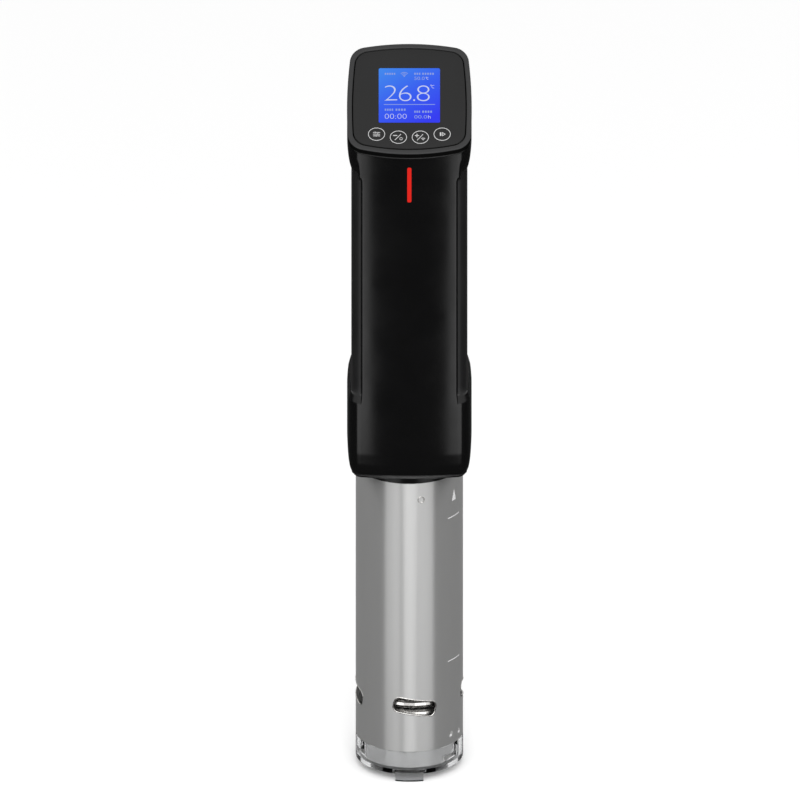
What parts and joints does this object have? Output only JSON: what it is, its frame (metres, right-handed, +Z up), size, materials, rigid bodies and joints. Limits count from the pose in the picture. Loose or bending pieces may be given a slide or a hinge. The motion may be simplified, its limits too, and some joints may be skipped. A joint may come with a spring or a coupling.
{
  "type": "sous vide circulator",
  "caption": "Upright immersion circulator with a slanted control panel and lit display, a slotted steel sleeve over a heating coil and pump, a clear twist-off end cap and a rear pot clip.",
  "frame": {"origin": "on the steel sleeve's axis, in the plane that the end cap's feet stand on", "axes": "+Z up along the sleeve, the front with the control panel faces -Y, +X is to the right seen from the front"},
  "size_m": [0.0624, 0.0816, 0.3849],
  "materials": {
    "casing": "black, soft satin gloss",
    "grip": "black, fine matte",
    "seal": "black rubber",
    "screws": "plated steel",
    "bezel": "dark grey satin",
    "panel": "dark grey, smooth",
    "display": "lit blue display window",
    "electronics": "pale moulded module",
    "contacts": "plated spring contacts",
    "board": "green circuit board",
    "shield_can": "tinned shield",
    "black_part": "black moulded",
    "light_bar": "red lit light guide",
    "winding": "taped winding and core",
    "aluminium": "plain",
    "gland": "black rubber",
    "steel": "fine brushed along the tube",
    "heater": "bright polished sheath",
    "rods": "bright steel",
    "motor_steel": "plated steel",
    "bush": "natural nylon",
    "rotor": "dark steel core",
    "impeller": "black moulded",
    "clear_cap": "clear smoky plastic, smooth"
  },
  "bodies": {
    "housing": {"front_casing": "casing", "rear_casing": "casing", "casing_base": "casing", "collar_ring": "casing", "collar_seal": "seal", "side_grip_left": "grip", "side_grip_right": "grip", "casing_screws": "screws", "panel_bezel": "bezel", "panel_gasket": "seal", "control_panel": "panel", "display_window": "display", "display_module": "electronics", "touch_pads": "contacts", "control_board": "board", "wifi_module": "shield_can", "buzzer": "black_part", "status_light_bar": "light_bar", "status_led_board": "board", "power_board": "board", "transformer": "winding", "capacitors": "black_part", "heat_sink": "aluminium", "cord_gland": "gland", "steel_sleeve": "steel", "heater_flange": "steel", "flange_seal": "seal", "heater_coil": "heater", "temperature_probe": "rods", "level_rods": "rods", "motor_mount": "black_part", "motor_can": "motor_steel", "bearings": "motor_steel", "shaft_bush": "bush", "bayonet_ring": "steel", "clip_bracket": "casing", "clip_saddle_pad": "seal", "clip_pin": "rods", "clip_spring": "rods"},
    "pump_rotor": {"motor_rotor": "rotor", "drive_shaft": "rods", "impeller": "impeller"},
    "cap": {"end_cap": "clear_cap"},
    "clip": {"clip_lever": "casing", "clip_jaw_pad": "seal"}
  },
  "joints": [
    {"name": "pump_spin", "type": "hinge", "parent": "housing", "child": "pump_rotor", "pos_m": [0, 0, 0.1], "axis": [0, 0, 1], "continuous": true},
    {"name": "cap_twist", "type": "hinge", "parent": "housing", "child": "cap", "pos_m": [0, 0, 0.01], "axis": [0, 0, 1], "range_deg": [-16, 0]},
    {"name": "clip_open", "type": "hinge", "parent": "housing", "child": "clip", "pos_m": [0, 0.0385, 0.232], "axis": [1, 0, 0], "range_deg": [0, 16], "stiffness_Nm_per_rad": 1.5, "springref_deg": -14.32, "deforming": ["clip_spring"]}
  ]
}
